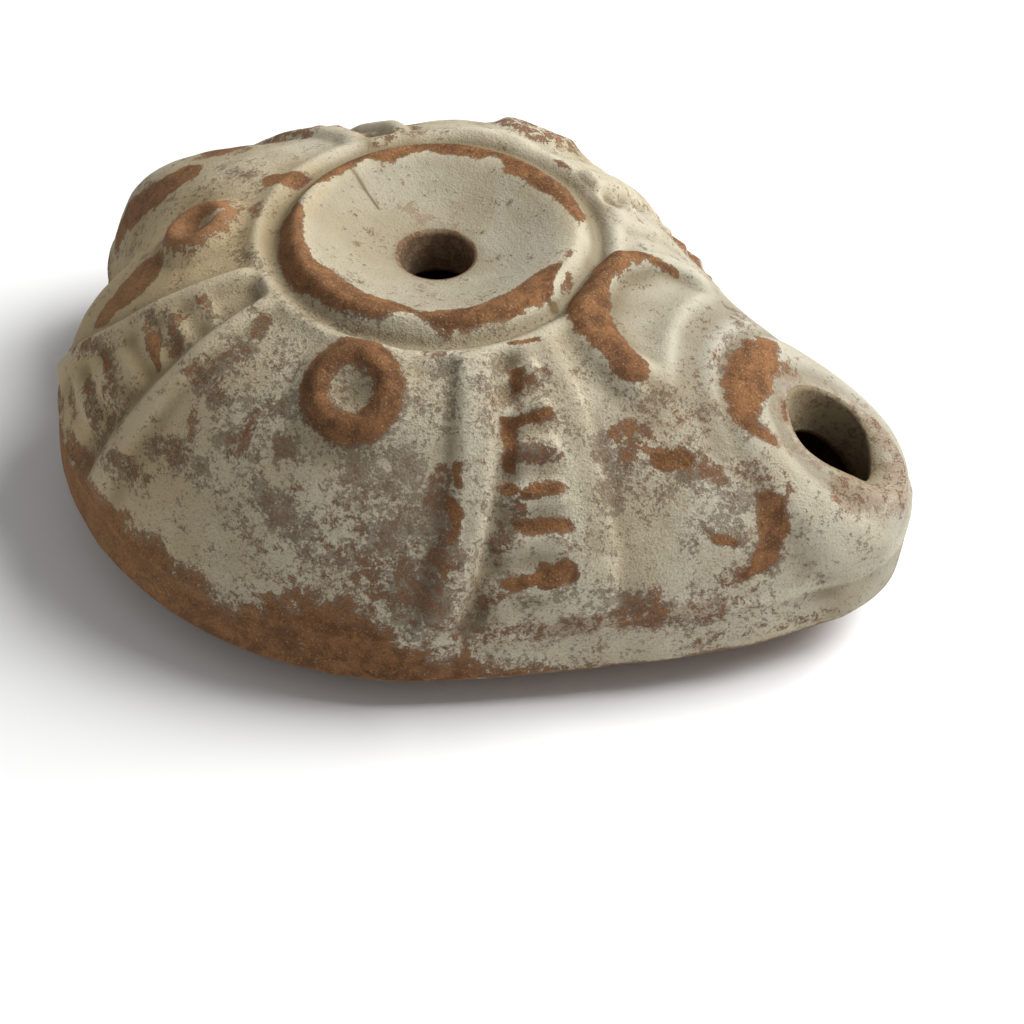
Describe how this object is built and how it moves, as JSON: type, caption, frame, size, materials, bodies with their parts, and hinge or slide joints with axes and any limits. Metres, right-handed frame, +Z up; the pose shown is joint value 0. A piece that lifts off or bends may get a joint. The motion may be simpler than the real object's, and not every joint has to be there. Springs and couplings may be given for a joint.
{
  "type": "oil lamp",
  "caption": "Mould-made Roman clay oil lamp: a hollow oval vessel with a filling hole in a ringed dish, a wick hole in its nozzle and moulded ribs, bars and bosses",
  "frame": {"origin": "middle of the lamp's length and width, on the plane it stands on", "axes": "+X from the filling ring to the nozzle, +Y across the lamp to its left seen from above with the nozzle ahead, +Z up"},
  "size_m": [0.0912, 0.0686, 0.0332],
  "materials": {
    "clay": "dull, dry buff slip worn through to orange clay"
  },
  "bodies": {
    "root": {"lamp_body": "clay"}
  },
  "joints": []
}
